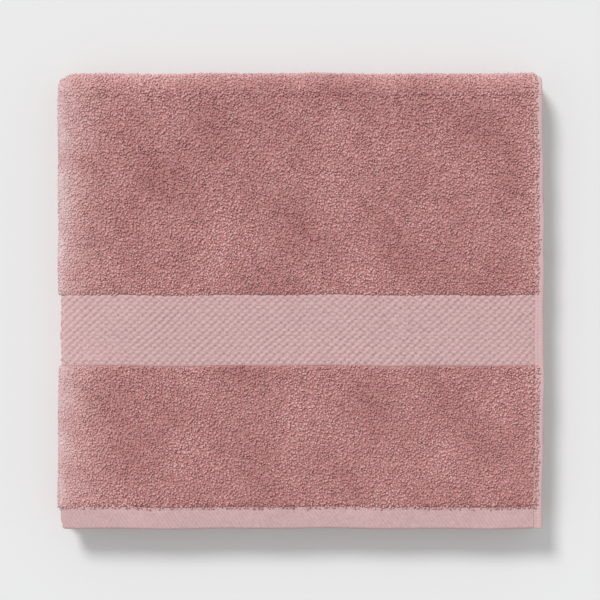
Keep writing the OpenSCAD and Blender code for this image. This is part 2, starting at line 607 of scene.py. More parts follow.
@dataclass(frozen=True)
class Loop:
    """One yarn loop of the pile, in metres."""

    half_width: float = 0.55 * MM
    height: float = 1.32 * MM
    yarn_r: float = 0.62 * MM
    sides: int = 3
    steps: int = 3
    twist: float = 0.5 * MM

    def mesh(self) -> bpy.types.Mesh:
        """The loop standing on its two feet at the origin."""
        bm = bmesh.new()
        foot = Matrix.Translation((self.half_width, -self.twist / 2, 0.0))
        ring = bmesh.ops.create_circle(bm, cap_ends=False, segments=self.sides, radius=self.yarn_r, matrix=foot)
        edges = list({e for v in ring["verts"] for e in v.link_edges})
        step = (0.0, self.twist / self.steps, 0.0)
        bmesh.ops.spin(
            bm, geom=ring["verts"] + edges, cent=(0, 0, 0), axis=(0, -1, 0), dvec=step, angle=math.pi, steps=self.steps
        )
        bmesh.ops.holes_fill(bm, edges=bm.edges, sides=self.sides)
        bmesh.ops.scale(bm, vec=(1.0, 1.0, self.height / self.half_width), verts=bm.verts)
        bmesh.ops.recalc_face_normals(bm, faces=bm.faces)
        bmesh.ops.triangulate(bm, faces=bm.faces)
        mesh = bpy.data.meshes.new("loop")
        bm.to_mesh(mesh)
        bm.free()
        return mesh


@dataclass(frozen=True)
class Pile:
    """How the loops stand on the cloth."""

    pitch: float = 1.9 * MM
    foot: float = 0.35 * MM
    lean: float = 0.75
    jitter: float = 0.42
    loop: Loop = field(default_factory=Loop)


def turned(axis: int, angle: Array) -> Array:
    """Rotation matrices about one axis, one for each angle."""
    cos, sin = np.cos(angle), np.sin(angle)
    m = np.zeros((len(angle), 3, 3))
    a, b = (axis + 1) % 3, (axis + 2) % 3
    m[:, axis, axis] = 1
    m[:, a, a] = cos
    m[:, b, b] = cos
    m[:, a, b] = -sin
    m[:, b, a] = sin
    return m


def repeat_mesh(template: bpy.types.Mesh, placed: Array, name: str) -> bpy.types.Mesh:
    """One mesh with a copy of the template for each row of placed points.

    Args:
        template: the shape that repeats, in triangles.
        placed: the copies' points, as (copies, points, 3).
        name: name of the new mesh.

    Returns:
        The new mesh.
    """
    copies, points = placed.shape[:2]
    corners = np.empty(len(template.loops), np.int64)
    template.loops.foreach_get("vertex_index", corners)
    index = (corners[None, :] + points * np.arange(copies)[:, None]).ravel()
    mesh = bpy.data.meshes.new(name)
    mesh.vertices.add(copies * points)
    mesh.loops.add(len(index))
    mesh.polygons.add(len(index) // 3)
    mesh.vertices.foreach_set("co", placed.astype(np.float32).ravel())
    mesh.loops.foreach_set("vertex_index", index.astype(np.int32))
    mesh.polygons.foreach_set("loop_start", np.arange(0, len(index), 3, dtype=np.int32))
    mesh.polygons.foreach_set("use_smooth", np.ones(len(index) // 3, dtype=bool))
    mesh.update(calc_edges=True)
    return mesh


def write_value(mesh: bpy.types.Mesh, name: str, values: Array) -> None:
    """Stores one number for each point."""
    layer = mesh.attributes.new(name, "FLOAT", "POINT")
    layer.data.foreach_set("value", values.astype(np.float32).ravel())


# Sizes and strengths of the pile's uneven patches, and the tone above which a loop takes the painted edge highlight.
MOTTLE = ((14 * MM, 0.08), (34 * MM, 0.15), (80 * MM, 0.21), (170 * MM, 0.19))
PALE_FROM = 0.5


def lay_loops(fold: Fold, patch: Patch, pile: Pile, seed: int, name: str) -> bpy.types.Mesh:
    """The loops of one patch of terry, laid through the fold.

    Args:
        fold: the fold that the cloth follows.
        patch: which part of the cloth.
        pile: how the loops stand.
        seed: draws the loops' places, turns and sizes.
        name: name of the mesh.

    Returns:
        A mesh with the point values tip, 0 at a loop's feet and 1 at its top, and tone, which also carries the painted
        edge highlight.
    """
    size = fold.size
    draw = np.random.default_rng(seed)
    # The outer ply is longer than the pair's middle line where it bends, so it holds more loops there.
    ruler, count = crowded(size, patch.across, 0.8, 0.6 * size.arc_w)
    rows = max(1, round((patch.along[1] - patch.along[0]) * fold.stretch(patch.course) / pile.pitch))
    columns = max(1, round(count[-1] / pile.pitch))
    t, s = np.meshgrid(np.arange(rows) + 0.5, np.arange(columns) + 0.5, indexing="ij")
    t, s = t.ravel(), s.ravel()
    s = s + 0.5 * (np.floor(t) % 2) - 0.25
    t = t + draw.uniform(-pile.jitter, pile.jitter, t.size)
    s = s + draw.uniform(-pile.jitter, pile.jitter, s.size)
    t = patch.along[0] + t / rows * (patch.along[1] - patch.along[0])
    s = np.interp(s / columns * count[-1], count, ruler)
    if patch.along[0] == size.border_y[1]:
        t = np.maximum(t, patch.along[0] + 0.8 * MM)
    combed = on_fold(size, s, COMBED_REACH)
    feet = pile.foot + (COMBED - 1.0 * MM * pile_end(size, patch.course, t)) * combed
    feet = np.where(s > size.around - size.side_hem_w, size.side_hem_t / 2 - 0.2 * MM, feet)
    if patch.course in (Course.TOP, Course.SECOND):
        feet = np.where(t < size.hem_y, size.end_hem_t / 2 - 0.2 * MM, feet)

    small = 0.05 * MM
    base = fold.place(patch.course, t, s, feet)
    up = fold.place(patch.course, t, s, feet + small) - base
    ahead = fold.place(patch.course, t + small, s, feet) - base
    up /= np.linalg.norm(up, axis=1, keepdims=True)
    ahead -= up * np.sum(ahead * up, axis=1, keepdims=True)
    ahead /= np.linalg.norm(ahead, axis=1, keepdims=True)
    frame = np.stack([np.cross(ahead, up), ahead, up], axis=1)

    n = t.size
    template = pile.loop.mesh()
    shape = read_points(template)
    lean = turned(0, draw.normal(0.0, pile.lean, n).clip(-1.2, 1.2))
    spin = turned(2, draw.uniform(0, 2 * math.pi, n))
    tilt = turned(1, draw.normal(0.0, 0.35, n))
    # Share of painted highlight at the folded edges; the same share also spreads and flattens the loops there.
    pale = painted_edge_light(size, base)
    scale = np.stack([draw.uniform(0.8, 1.3, n), draw.uniform(0.9, 1.25, n), draw.uniform(0.75, 1.15, n)], axis=1)
    scale[:, :2] *= 1 + 0.5 * pale[:, None]
    scale[:, 2] *= (1 - 0.3 * pale) * (1 - 0.6 * combed)
    posed = np.einsum("nij,njk,nkl,npl->npi", spin, lean, tilt, shape[None] * scale[:, None], optimize=True)
    world = base[:, None] + np.einsum("npi,nij->npj", posed, frame)
    mesh = repeat_mesh(template, world, name)

    tip = np.clip(posed[:, :, 2] / pile.loop.height, 0.0, 1.0)
    flat_x, flat_y = base[:, 0], base[:, 1] + base[:, 2]
    mottle = sum(share * waver(flat_x, flat_y, 21 + k, wide) for k, (wide, share) in enumerate(MOTTLE))
    own = np.clip(0.5 + mottle + draw.normal(0.0, 0.08, n), 0.0, 1.0)
    # Tone up to PALE_FROM is the loop's own tone; above it is the painted edge highlight.
    tone = PALE_FROM * own + (1 - PALE_FROM * own) * pale
    tone = np.clip(np.repeat(tone[:, None], shape.shape[0], axis=1), 0.0, 1.0)
    write_value(mesh, "tip", tip)
    write_value(mesh, "tone", tone)
    corner = np.empty(len(mesh.loops), np.int64)
    mesh.loops.foreach_get("vertex_index", corner)
    baked = mesh.uv_layers.new(name="OFBake")
    pair = np.stack([tone.ravel()[corner], tip.ravel()[corner]], axis=1) * 0.96 + 0.02
    baked.data.foreach_set("uv", pair.astype(np.float32).ravel())
    bpy.data.meshes.remove(template)
    return mesh


# ---------------------------------------------------------------- finishes


@dataclass(frozen=True)
class Cotton:
    """A cotton finish: colours of its low and high places, the low one partly painted shade, and how it scatters light.
    """

    name: str
    deep: tuple[float, float, float]
    high: tuple[float, float, float]
    roughness: float = 0.9
    sheen: float = 0.25


# On the pile, deep is painted shade at a loop's feet.
TERRY = Cotton("terry_yarn", (0.43, 0.153, 0.148), (0.815, 0.493, 0.484), sheen=0.07)
# Pale pink of the painted highlight where the folded edges catch the light.
HIGHLIGHT_COLOUR = (0.89, 0.765, 0.755)
# On the ground, deep is painted shade in the hollows of its curls.
GROUND = Cotton("terry_ground", (0.38, 0.135, 0.13), (0.66, 0.335, 0.325), sheen=0.05)
# On the border, deep is painted shade in the pits between its lozenges.
BORDER = Cotton("border_weave", (0.29, 0.155, 0.16), (0.76, 0.50, 0.505), sheen=0.1)
HEM = Cotton("hem_weave", (0.38, 0.235, 0.24), (0.74, 0.50, 0.505), sheen=0.1)
SIDE_HEM = Cotton("side_hem", (0.54, 0.335, 0.335), (0.77, 0.54, 0.535))
THREAD = Cotton("thread", (0.60, 0.39, 0.39), (0.74, 0.52, 0.515))
LABEL = Cotton("label", (0.72, 0.69, 0.65), (0.84, 0.82, 0.78), sheen=0.1)


class Shader:
    """A small helper that adds and joins the nodes of one material."""

    def __init__(self, finish: Cotton) -> None:
        self.finish = finish
        self.material = bpy.data.materials.new(finish.name)
        self.material.use_nodes = True
        self.tree = self.material.node_tree
        self.surface = self.tree.nodes["Principled BSDF"]
        self.surface.inputs["Roughness"].default_value = finish.roughness
        self.surface.inputs["Sheen Weight"].default_value = finish.sheen
        self.surface.inputs["Sheen Roughness"].default_value = 0.45
        self.surface.inputs["Specular IOR Level"].default_value = 0.12

    def add(self, kind: str, **values: object) -> bpy.types.Node:
        """A new node, with its properties or plain inputs set by name."""
        node = self.tree.nodes.new(kind)
        for key, value in values.items():
            label = key.replace("_", " ").title() if key not in ("W",) else key
            if hasattr(node, key):
                setattr(node, key, value)
            else:
                node.inputs[label].default_value = value
        return node

    def join(self, source: object, target: object) -> None:
        """Links an output to an input."""
        self.tree.links.new(source, target)

    def maths(self, operation: str, a: object, b: object = 0.0, clamp: bool = False) -> object:
        """A sum, product or other result of two values, each an output or a number."""
        node = self.tree.nodes.new("ShaderNodeMath")
        node.operation = operation
        node.use_clamp = clamp
        for socket, value in zip(node.inputs, (a, b)):
            if isinstance(value, (int, float)):
                socket.default_value = value
            else:
                self.join(value, socket)
        return node.outputs[0]

    def noise(self, scale: float, detail: float = 2.0) -> object:
        """Noise on the piece's own coordinates, from 0 to 1."""
        node = self.add("ShaderNodeTexNoise", Scale=scale, Detail=detail)
        self.join(self.place(), node.inputs["Vector"])
        return node.outputs["Factor"] if "Factor" in node.outputs else node.outputs["Fac"]

    def place(self) -> object:
        """The piece's own coordinates, in metres."""
        return self.add("ShaderNodeTexCoord").outputs["Object"]

    def value(self, name: str) -> object:
        """A point value of the mesh."""
        return self.add("ShaderNodeAttribute", attribute_name=name).outputs["Fac"]

    def colour(self, factor: object, low: object, high: object) -> object:
        """A mix of low and high, each a colour or an output."""
        node = self.tree.nodes.new("ShaderNodeMix")
        node.data_type = "RGBA"
        colours = [i for i in node.inputs if i.type == "RGBA"]
        for socket, value in zip(colours, (low, high)):
            if isinstance(value, tuple):
                socket.default_value = (*value, 1.0)
            else:
                self.join(value, socket)
        self.join(factor, node.inputs[0])
        return next(o for o in node.outputs if o.type == "RGBA")

    def bump(self, height: object, depth: float) -> None:
        """Raises the surface by height times depth, in metres."""
        node = self.add("ShaderNodeBump", Distance=depth, Strength=1.0)
        self.join(height, node.inputs["Height"])
        self.join(node.outputs["Normal"], self.surface.inputs["Normal"])

    def paint(self, colour: object) -> bpy.types.Material:
        """Gives the surface its colour and returns the material."""
        self.join(colour, self.surface.inputs["Base Color"])
        return self.material


def stripes(shader: Shader, direction: tuple[float, float, float], shift: object | None = None) -> object:
    """Rounded stripes across a direction given in turns per metre, from 0 to 1."""
    dot = shader.add("ShaderNodeVectorMath", operation="DOT_PRODUCT")
    shader.join(shader.place(), dot.inputs[0])
    dot.inputs[1].default_value = [2 * math.pi * d for d in direction]
    phase = dot.outputs["Value"]
    if shift is not None:
        phase = shader.maths("ADD", phase, shift)
    wave = shader.maths("SINE", phase)
    return shader.maths("ADD", shader.maths("MULTIPLY", wave, 0.5), 0.5)


def terry_material() -> bpy.types.Material:
    """Pile yarn: painted shade at the feet, the loop's own tone on top, a little different from loop to loop, and a
    painted highlight at the folded edges.
    """
    shader = Shader(TERRY)
    tip, tone = shader.value("tip"), shader.value("tone")
    own = shader.maths("DIVIDE", tone, PALE_FROM, clamp=True)
    # How much painted edge highlight the loop carries, from the part of its tone above PALE_FROM.
    edge_highlight = shader.maths("DIVIDE", shader.maths("SUBTRACT", tone, PALE_FROM), 1 - PALE_FROM, clamp=True)
    # Painted shade at a loop's feet, rising to the loop's own tone by half its height.
    rise = shader.maths("MULTIPLY", tip, 2.0, clamp=True)
    shade = shader.maths("MULTIPLY", rise, shader.maths("ADD", shader.maths("MULTIPLY", own, 0.7), 0.35), clamp=True)
    yarn = shader.colour(shade, TERRY.deep, TERRY.high)
    return shader.paint(shader.colour(shader.maths("MULTIPLY", edge_highlight, 0.85), yarn, HIGHLIGHT_COLOUR))


def ground_material() -> bpy.types.Material:
    """The cloth under the pile, and pile that is pressed between plies, with painted shade in the hollows of its curls
    and a painted highlight at the folded edges.
    """
    shader = Shader(GROUND)
    curls = shader.noise(520.0, 3.0)
    shader.bump(curls, 1.2 * MM)
    # The curls' hollows get painted shade in the colour as well as the bump.
    mixed = shader.maths("ADD", shader.maths("MULTIPLY", curls, 0.9), shader.maths("MULTIPLY", shader.noise(60.0), 0.2))
    cloth = shader.colour(mixed, GROUND.deep, GROUND.high)
    return shader.paint(shader.colour(shader.maths("MULTIPLY", shader.value("shade"), 0.8), cloth, HIGHLIGHT_COLOUR))


def woven_material(
    finish: Cotton, turns: Sequence[tuple[float, float, float]], depth: float, told: float = 0.0
) -> bpy.types.Material:
    """Flat woven cotton with fine ribs.

    Args:
        finish: its colours.
        turns: direction of each set of ribs, in turns per metre.
        depth: height of the ribs.
        told: how much of the mesh's own shade value shows in the colour.

    Returns:
        The material.
    """
    shader = Shader(finish)
    ribs = None
    for turn in turns:
        stripe = stripes(shader, turn, shader.maths("MULTIPLY", shader.noise(260.0), 2.5))
        ribs = stripe if ribs is None else shader.maths("MULTIPLY", ribs, stripe)
    shader.bump(ribs, depth)
    slubs = shader.maths("ADD", shader.maths("MULTIPLY", shader.noise(800.0, 3.0), 0.85), -0.17)
    wide = shader.maths("ADD", shader.noise(35.0, 2.0), shader.noise(300.0, 2.0))
    # A little painted shade in the grooves between the ribs; the slubs and wide patches are the yarn's own tone.
    mixed = shader.maths("ADD", shader.maths("MULTIPLY", ribs, 0.13), slubs)
    mixed = shader.maths("ADD", mixed, shader.maths("MULTIPLY", wide, 0.3), clamp=True)
    if told:
        own = shader.maths("MULTIPLY", shader.value("shade"), told)
        mixed = shader.maths("ADD", shader.maths("MULTIPLY", mixed, 1 - told), own, clamp=True)
    return shader.paint(shader.colour(mixed, finish.deep, finish.high))


def border_material() -> bpy.types.Material:
    """The border's weave, with painted shade in the pits between its lozenges and between its yarns, and a painted
    highlight towards the side fold.
    """
    shader = Shader(BORDER)
    relief = shader.value("shade")
    yarns = stripes(shader, (1450.0, 500.0, 1450.0), shader.maths("MULTIPLY", shader.noise(300.0), 3.0))
    shader.bump(yarns, 0.08 * MM)
    # How deep the painted pit shade is, from place to place.
    depth = shader.maths("ADD", shader.maths("MULTIPLY", shader.noise(240.0), 0.9), 0.35)
    relief = shader.maths("SUBTRACT", 1.0, shader.maths("MULTIPLY", shader.maths("SUBTRACT", 1.0, relief), depth))
    slubs = shader.maths("MULTIPLY", shader.maths("SUBTRACT", shader.noise(850.0, 3.0), 0.5), 1.15)
    mixed = shader.maths("ADD", shader.maths("MULTIPLY", relief, 0.85), shader.maths("MULTIPLY", yarns, 0.10))
    mixed = shader.maths("ADD", shader.maths("ADD", mixed, slubs), shader.maths("MULTIPLY", shader.noise(40.0), 0.12))
    mixed = shader.maths("MULTIPLY", mixed, 1.0, clamp=True)
    return shader.paint(shader.colour(mixed, BORDER.deep, BORDER.high))


@dataclass
class Finishes:
    """The towel's materials."""

    terry: bpy.types.Material
    ground: bpy.types.Material
    border: bpy.types.Material
    hem: bpy.types.Material
    side_hem: bpy.types.Material
    thread: bpy.types.Material
    label: bpy.types.Material

    @classmethod
    def make(cls) -> Finishes:
        """Builds every material."""
        return cls(
            terry=terry_material(),
            ground=ground_material(),
            border=border_material(),
            hem=woven_material(HEM, [(323.0, 229.0, 323.0)], 0.09 * MM),
            side_hem=woven_material(SIDE_HEM, [(900.0, 420.0, 900.0)], 0.10 * MM, told=0.6),
            thread=woven_material(THREAD, [(1800.0, 1800.0, 900.0)], 0.05 * MM),
            label=woven_material(LABEL, [(1600.0, 0.0, 0.0), (0.0, 1600.0, 0.0)], 0.04 * MM),
        )


# ---------------------------------------------------------------- the towel


@dataclass
class Maker:
    """What every sub-assembly is made with."""

    size: TowelSizes
    fold: Fold
    finish: Finishes

    def carry(self, piece: bpy.types.Object, body: str | None, slot: str, *nodes: str) -> bpy.types.Object:
        """Hides the piece's CAD nodes and attaches the piece to its body, when it has one."""
        if body is not None:
            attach(piece, body)
        if nodes:
            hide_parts(*nodes)
        return piece


# How far the loops lap over the side hem, and their spacing on the faces that show most and least.
LOOPS_OVER_HEM = 2.4 * MM
CLOSE = 1.9 * MM
OPEN = 3.5 * MM


@dataclass(frozen=True)
class TerryPart:
    """A stretch of terry: its cloth and the loops on its outer face."""

    name: str
    patch: Patch
    body: str
    node: str
    pitch: float
    rests_on: str
    seed: int
    pieces: int = 1
    overhang: float = 0.0

    def build(self, maker: Maker) -> None:
        """Makes the cloth and its loops.

        Args:
            maker: the fold and finishes to make them with.
        """
        size = maker.size
        build = ClothBuild(size, self.patch.course)
        rough = (4 if self.patch.course in (Course.TOP, Course.SECOND) else 7) * MM
        mesh = lay_slab(maker.fold, self.patch, (rough, 4 * MM), build.terry_in, build.terry_out, build.edge_highlight, 4)
        cloth = maker.carry(show(f"{self.name}_cloth", mesh, maker.finish.ground), self.body, "terry", self.node)
        pile = Pile(pitch=self.pitch, loop=loop_for(self.pitch))
        start, end = self.patch.along
        start -= self.overhang
        low, high = size.flat_w - 3 * MM, size.around - size.side_hem_w + LOOPS_OVER_HEM
        for k in range(self.pieces):
            a = start + (end - start) * k / self.pieces
            b = start + (end - start) * (k + 1) / self.pieces
            tag = f"_{k + 1}" if self.pieces > 1 else ""
            name = f"{self.name}_loops{tag}"
            laid = lay_loops(maker.fold, Patch(self.patch.course, (a, b), (low, high)), pile, self.seed + 7 * k, name)
            maker.carry(show(name, laid, maker.finish.terry), self.body, "terry")


def loop_for(pitch: float) -> Loop:
    """A loop that suits the spacing: finer yarn on close pile, thicker on open pile."""
    usual = Loop()
    k = pitch / CLOSE
    wide = min(k, 1.7)
    steps = usual.steps if k < 1.6 else 2
    return Loop(
        half_width=usual.half_width * wide, yarn_r=usual.yarn_r * min(k, 1.5), twist=usual.twist * wide, steps=steps
    )


@dataclass(frozen=True)
class BackFoldPart:
    """One ply of the back fold."""

    name: str
    course: Course
    outside: bool
    seed: int
    pitch: float
    nodes: tuple[str, ...] = ()

    def build(self, maker: Maker) -> None:
        """Makes the ply's cloth, its loops and its side hem."""
        size, fold = maker.size, maker.fold
        build = ClothBuild(size, self.course)
        middle = size.flat_w + size.arc_w / 2
        hem = size.side_hem_w
        across = (middle, size.around - hem) if self.outside else (hem, middle)
        start, end = fold.span(self.course)
        patch = Patch(self.course, (start - ROOM, end + ROOM), across)
        mesh = lay_slab(fold, patch, (1.6 * MM, 4 * MM), build.terry_in, build.terry_out, build.edge_highlight, 4)
        cloth = maker.carry(show(f"{self.name}_cloth", mesh, maker.finish.ground), None, "terry", *self.nodes)
        pitch = self.pitch
        pile = Pile(pitch=pitch, loop=loop_for(pitch))
        across = (middle, size.around - hem + LOOPS_OVER_HEM) if self.outside else (size.flat_w - 3 * MM, middle)
        laid = lay_loops(fold, Patch(self.course, patch.along, across), pile, self.seed, f"{self.name}_loops")
        loops = maker.carry(show(f"{self.name}_loops", laid, maker.finish.terry), None, "terry")
        strip = SideHem(self.course, self.outside).piece(maker, f"{self.name}_side_hem", patch.along)
        maker.carry(strip, None, "side_hem", *(n + "_side_hems" for n in self.nodes))
        for piece in (cloth, loops, strip):
            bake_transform(piece)


@dataclass(frozen=True)
class SideHem:
    """The side hem of one ply: cloth turned under twice into a flat ribbed strip."""

    course: Course
    outside: bool

    def piece(self, maker: Maker, name: str, along: tuple[float, float]) -> bpy.types.Object:
        """Makes the strip.

        Args:
            maker: the fold and finishes.
            name: name of the piece.
            along: range along the course.

        Returns:
            The strip as a closed mesh.
        """
        mesh = self.mesh(maker, along)
        return show(name, mesh, maker.finish.side_hem)

    def mesh(self, maker: Maker, along: tuple[float, float]) -> bpy.types.Mesh:
        """The strip's mesh, whose rounded section is turned out of a grid."""
        size = maker.size
        width = size.side_hem_w + 0.4 * MM
        rows = max(8, round((along[1] - along[0]) / (0.8 * MM)))
        mesh = unit_slab(rows, 6)
        unit = read_points(mesh)
        t = along[0] + unit[:, 0] * (along[1] - along[0])
        wide = unit[:, 1] * width
        side = size.around - width if self.outside else 0.0
        from_edge = width - wide if self.outside else wide
        round_edge = np.sqrt(np.clip(1 - (1 - np.clip(from_edge / (1.2 * MM), 0, 1)) ** 2 * 0.9, 0, 1))
        rib = np.cos(2 * math.pi * t / (2.4 * MM)) * np.clip(from_edge / (1.5 * MM), 0, 1)
        rib *= 0.55 + 0.45 * waver(t, wide, 35, 9 * MM)
        ribs = 0.13 * MM * rib
        seam = np.exp(-(((from_edge - size.side_hem_w + size.seam_inset) / (0.6 * MM)) ** 2))
        puff = 0.12 * MM * waver(t, wide, 31 + self.outside, 24 * MM)
        half = size.side_hem_t / 2 * round_edge + ribs - 0.28 * MM * seam + puff
        sway = 0.5 * MM * waver(t, t * 0, 40 + self.outside + 2 * list(Course).index(self.course), 46 * MM)
        s = side + wide + np.clip(1 - from_edge / width, 0, 1) * sway * (1 if self.outside else -1)
        h = np.where(unit[:, 2] > 0.5, half, -half)
        write_points(mesh, maker.fold.place(self.course, t, s, h))
        face_outwards(mesh)
        # Painted shade in the troughs between the ribs.
        write_value(mesh, "shade", np.clip(0.66 + 0.3 * rib, 0.0, 1.0))
        return mesh


def join_meshes(name: str, meshes: Sequence[bpy.types.Mesh]) -> bpy.types.Mesh:
    """Puts several meshes together as one."""
    bm = bmesh.new()
    for mesh in meshes:
        bm.from_mesh(mesh)
        bpy.data.meshes.remove(mesh)
    joined = bpy.data.meshes.new(name)
    bm.to_mesh(joined)
    bm.free()
    return joined


def stitch_row(fold: Fold, course: Course, run: Callable[[Array], tuple[Array, Array, Array]], length: float) -> bpy.types.Mesh:
    """A row of stitches: short yarn humps that follow a line on the cloth.

    Args:
        fold: the fold that the cloth follows.
        course: the course that the row lies on.
        run: gives t, s and h at a distance along the row.
        length: length of the row.

    Returns:
        The stitches as one mesh.
    """
    pitch, long, thick = 3.1 * MM, 2.5 * MM, 0.26 * MM
    count = max(1, int(length / pitch))
    bm = bmesh.new()
    ring = bmesh.ops.create_circle(bm, cap_ends=False, segments=5, radius=1.0, matrix=Matrix.Rotation(math.pi / 2, 4, "Y"))
    edges = list({e for v in ring["verts"] for e in v.link_edges})
    geom = ring["verts"] + edges
    for _ in range(4):
        out = bmesh.ops.extrude_edge_only(bm, edges=[g for g in geom if isinstance(g, bmesh.types.BMEdge)])
        geom = out["geom"]
        bmesh.ops.translate(bm, verts=[g for g in geom if isinstance(g, bmesh.types.BMVert)], vec=(0.25, 0, 0))
    bmesh.ops.holes_fill(bm, edges=bm.edges, sides=5)
    bmesh.ops.recalc_face_normals(bm, faces=bm.faces)
    bmesh.ops.triangulate(bm, faces=bm.faces)
    template = bpy.data.meshes.new("stitch")
    bm.to_mesh(template)
    bm.free()
    shape = read_points(template)
    fat = thick * (0.35 + 0.65 * np.sin(math.pi * np.clip(shape[:, 0], 0.0, 1.0)))
    start = (np.arange(count) + 0.1)[:, None] * pitch
    at = start + shape[None, :, 0] * long
    t, s, h = run(at)
    hump = 0.22 * MM * np.sin(math.pi * shape[None, :, 0]) - 0.05 * MM
    t1, s1, _ = run(at + 0.01 * MM)
    dt, ds = t1 - t, s1 - s
    norm = np.hypot(dt, ds)
    side = shape[None, :, 1] * fat[None]
    points = fold.place(course, t - side * ds / norm, s + side * dt / norm, h + hump + shape[None, :, 2] * fat[None])
    mesh = repeat_mesh(template, points, "stitches")
    bpy.data.meshes.remove(template)
    return mesh


@dataclass(frozen=True)
class SideEdges:
    """Both side hems of one pair, with their sewing."""

    name: str
    course: Course
    body: str
    node: str
    along: tuple[float, float]

    def build(self, maker: Maker) -> list[bpy.types.Mesh]:
        """Makes the strips and returns the meshes of their stitches."""
        strips = [SideHem(self.course, outside).mesh(maker, self.along) for outside in (False, True)]
        mesh = join_meshes(f"{self.name}_side_hem", strips)
        piece = show(f"{self.name}_side_hem", mesh, maker.finish.side_hem)
        maker.carry(piece, self.body, "side_hem", self.node)
        size = maker.size
        inset = size.side_hem_w - size.seam_inset
        half = size.side_hem_t / 2 - 0.15 * MM
        rows = []
        for s in (inset, size.around - inset):
            def run(at: Array, s: float = s) -> tuple[Array, Array, Array]:
                return self.along[0] + at, np.full_like(at, s), np.full_like(at, half)

            rows.append(stitch_row(maker.fold, self.course, run, self.along[1] - self.along[0] - 3 * MM))
        return rows


@dataclass(frozen=True)
class EndOfTowel:
    """The hemmed end of the towel: its woven border, end terry, end hem and seam."""

    name: str
    course: Course
    fine: float
    pile_pitch: float
    pieces: int
    seed: int
    rests_on: str

    def build(self, maker: Maker) -> None:
        """Makes the border, the end terry, the hem and its seam."""
        size, fold = maker.size, maker.fold
        low, high = size.side_hem_w, size.around - size.side_hem_w
        TerryPart(
            f"{self.name}_end", Patch(self.course, (size.hem_y, size.border_y[0]), (low, high)), UPPER,
            f"{self.name}_end_terry", self.pile_pitch, self.rests_on, self.seed, self.pieces, 0.8 * MM,
        ).build(maker)
        self._border(maker, low, high)
        self._hem(maker, low, high)

    def _border(self, maker: Maker, low: float, high: float) -> None:
        size = maker.size
        build = ClothBuild(size, self.course)
        turn = size.flat_w
        face = Patch(self.course, size.border_y, (turn, high))
        mesh = lay_slab(maker.fold, face, (self.fine, self.fine), build.border_in, build.border_out, self._weave_shading)
        shown = show(f"{self.name}_border_face", mesh, maker.finish.border)
        maker.carry(shown, UPPER, "border", f"{self.name}_border")
        rest = Patch(self.course, size.border_y, (low, turn))
        mesh = lay_slab(maker.fold, rest, (3 * MM, 3 * MM), build.border_in, build.border_out, self._weave_shading)
        under = maker.carry(show(f"{self.name}_border_under", mesh, maker.finish.border), UPPER, "border")

    @staticmethod
    def _weave_shading(t: Array, s: Array, points: Array) -> Array:
        # Painted shade in the lozenges' pits, and a painted highlight towards the side fold, where the border catches
        # the light.
        left = np.exp(-(points[..., 0] - points[..., 0].min()) / (30 * MM))
        return np.clip(lozenges(t, s) * 0.5 + 0.5 + 0.22 * left, 0.0, 1.3)

    def _hem(self, maker: Maker, low: float, high: float) -> None:
        size = maker.size
        build = HemBuild(size, self.seed)
        patch = Patch(self.course, (size.front_y, size.hem_y), (low, high))
        mesh = lay_slab(maker.fold, patch, (1.2 * self.fine, 1.5 * self.fine), build.inner, build.outer)
        hem = maker.carry(
            show(f"{self.name}_hem_cloth", mesh, maker.finish.hem), UPPER, "end_hem", f"{self.name}_end_hem"
        )
        line = size.hem_y - size.seam_inset - size.thread_t / 2
        half = size.end_hem_t / 2 - 0.28 * MM

        def run(at: Array) -> tuple[Array, Array, Array]:
            return np.full_like(at, line), low + at, np.full_like(at, half)

        seam = show(f"{self.name}_hem_stitches", stitch_row(maker.fold, self.course, run, high - low), maker.finish.thread)
        maker.carry(seam, UPPER, "thread", f"{self.name}_hem_seam")


@dataclass(frozen=True)
class CareLabel:
    """A blank tape sewn to the lower hem, in the fold between the halves."""

    def build(self, maker: Maker) -> None:
        """Makes the tape, with its sewn end turned up to the hem."""
        size = maker.size
        second_z = 2 * size.crease_z - size.middle_z
        under = second_z - (size.pitch + size.terry_t) / 2
        hem_face = second_z - (size.pitch + size.end_hem_t) / 2
        mesh = unit_slab(48, 20)
        unit = read_points(mesh)
        start = size.hem_y - size.seam_inset
        y = start + unit[:, 0] * (size.label_l + size.seam_inset)
        x = size.edge_x - size.side_hem_w - size.label_inset - size.label_w * (1 - unit[:, 1])
        past = np.clip((y - start) / (5 * MM), 0.0, 1.0)
        rise = (hem_face - under) * (1 - past * past * (3 - 2 * past))
        ripple = 0.05 * MM * np.sin(2 * math.pi * x / (16 * MM)) * past
        z = under - size.label_t + rise + ripple + unit[:, 2] * size.label_t * 0.8
        write_points(mesh, maker.fold.settle(np.stack([x, y, z], axis=-1)))
        face_outwards(mesh)
        tape = maker.carry(show("care_label_tape", mesh, maker.finish.label), UPPER, "label", "care_label")


